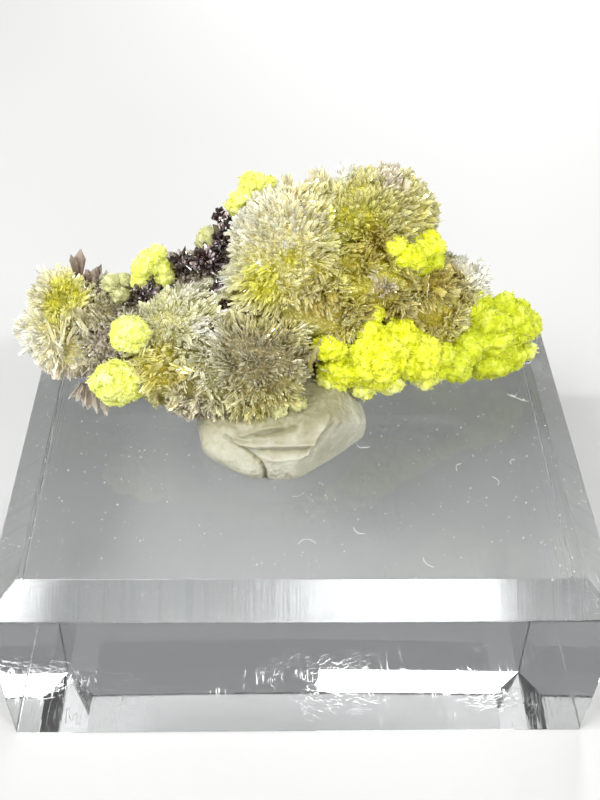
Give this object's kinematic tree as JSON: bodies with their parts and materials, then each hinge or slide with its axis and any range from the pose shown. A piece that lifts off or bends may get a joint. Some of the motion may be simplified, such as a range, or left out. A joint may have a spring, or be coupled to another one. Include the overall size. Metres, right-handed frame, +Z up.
{
  "type": "mineral specimen on display block",
  "caption": "Thumbnail mineral specimen of bladed crystal rosettes and yellow-green crusts, fixed with mineral tack on a clear bevelled block.",
  "frame": {"origin": "centre of the display block's underside", "axes": "+Z up out of the block's top, -Y towards the front that the specimen faces, +X to the right along the block's length"},
  "size_m": [0.0325, 0.0246, 0.0249],
  "materials": {
    "clear_acrylic": "clear, flame-polished faces, fine scratches and dust",
    "cream_tack": "soft satin putty, pinched folds",
    "pale_crystal": "translucent pale straw to olive blades, bright vitreous faces",
    "dark_crystal": "purple-black, bright vitreous faces",
    "matrix_rock": "rough, dull, grey-brown",
    "yellow_green_crust": "fine sugary crust, semi-matt with small glints"
  },
  "bodies": {
    "root": {"display_block": "clear_acrylic", "mineral_tack": "cream_tack", "crystal_cluster": "pale_crystal", "yellow_green_crust_right": "yellow_green_crust", "yellow_green_crust_upper": "yellow_green_crust", "yellow_green_tuft_top": "yellow_green_crust", "yellow_green_tuft_left": "yellow_green_crust", "yellow_green_ball_middle": "yellow_green_crust", "yellow_green_ball_lower": "yellow_green_crust"}
  },
  "joints": []
}
